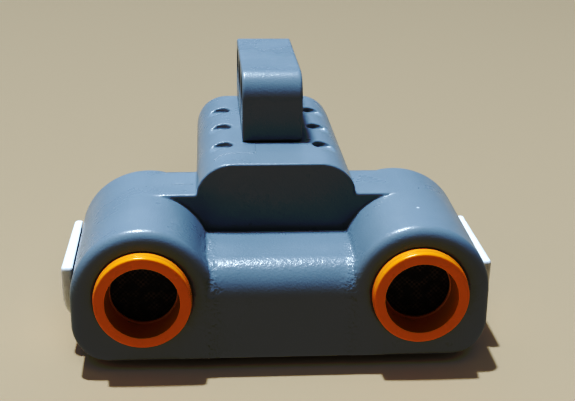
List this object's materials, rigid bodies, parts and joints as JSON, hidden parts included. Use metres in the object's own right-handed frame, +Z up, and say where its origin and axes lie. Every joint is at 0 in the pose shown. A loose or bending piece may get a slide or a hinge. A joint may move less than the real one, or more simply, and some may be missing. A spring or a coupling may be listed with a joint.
{
  "type": "ultrasonic distance sensor",
  "caption": "Ultrasonic distance sensor for a construction kit: two ringed eyes on a broad head, a long body with a pin-holed beam on top and a cable socket at the rear.",
  "frame": {"origin": "middle of the bounding rectangle, level with the flat underside of the foot", "axes": "+Z up, -Y the way the two eyes face, +X towards the eye on the right as seen from in front"},
  "size_m": [0.052, 0.048, 0.031],
  "materials": {
    "grey_shell": "moulded, satin, dark stone grey",
    "white_shell": "moulded, satin, white",
    "orange_ring": "moulded, semi-gloss, orange-red",
    "eye_mesh": "fine dark screen",
    "can_metal": "satin",
    "foam": "soft",
    "ceramic": "fired, unglazed",
    "circuit_board": "solder mask",
    "chip": "moulded, matt",
    "black_plastic": "moulded",
    "contact": "gold-plated",
    "led": "clear moulded",
    "ferrite": "sintered"
  },
  "bodies": {
    "sensor_body": {"front_housing": "grey_shell", "mounting_beam": "grey_shell", "base_cover": "white_shell", "head_board": "circuit_board", "main_board": "circuit_board", "board_header": "black_plastic", "cable_socket": "black_plastic", "microcontroller": "chip", "driver_chip": "chip", "amplifier_chip": "chip", "crystal": "can_metal", "step_up_transformer": "ferrite", "capacitor_a": "can_metal", "capacitor_b": "can_metal", "eye_ring_left": "orange_ring", "eye_mesh_left": "eye_mesh", "transducer_can_left": "can_metal", "transducer_base_left": "chip", "piezo_disc_left": "ceramic", "cone_left": "can_metal", "transducer_sleeve_left": "foam", "transducer_pin_left_a": "can_metal", "transducer_pin_left_b": "can_metal", "eye_led_left": "led", "eye_ring_right": "orange_ring", "eye_mesh_right": "eye_mesh", "transducer_can_right": "can_metal", "transducer_base_right": "chip", "piezo_disc_right": "ceramic", "cone_right": "can_metal", "transducer_sleeve_right": "foam", "transducer_pin_right_a": "can_metal", "transducer_pin_right_b": "can_metal", "eye_led_right": "led"},
    "contact_springs": {"contact_wire_1": "contact", "contact_wire_2": "contact", "contact_wire_3": "contact", "contact_wire_4": "contact", "contact_wire_5": "contact", "contact_wire_6": "contact"}
  },
  "joints": [
    {"name": "contact_flex", "type": "hinge", "parent": "sensor_body", "child": "contact_springs", "pos_m": [0, 0.0214, 0.0079], "axis": [1, 0, 0], "range_deg": [0, 12], "stiffness_Nm_per_rad": 0.002}
  ]
}
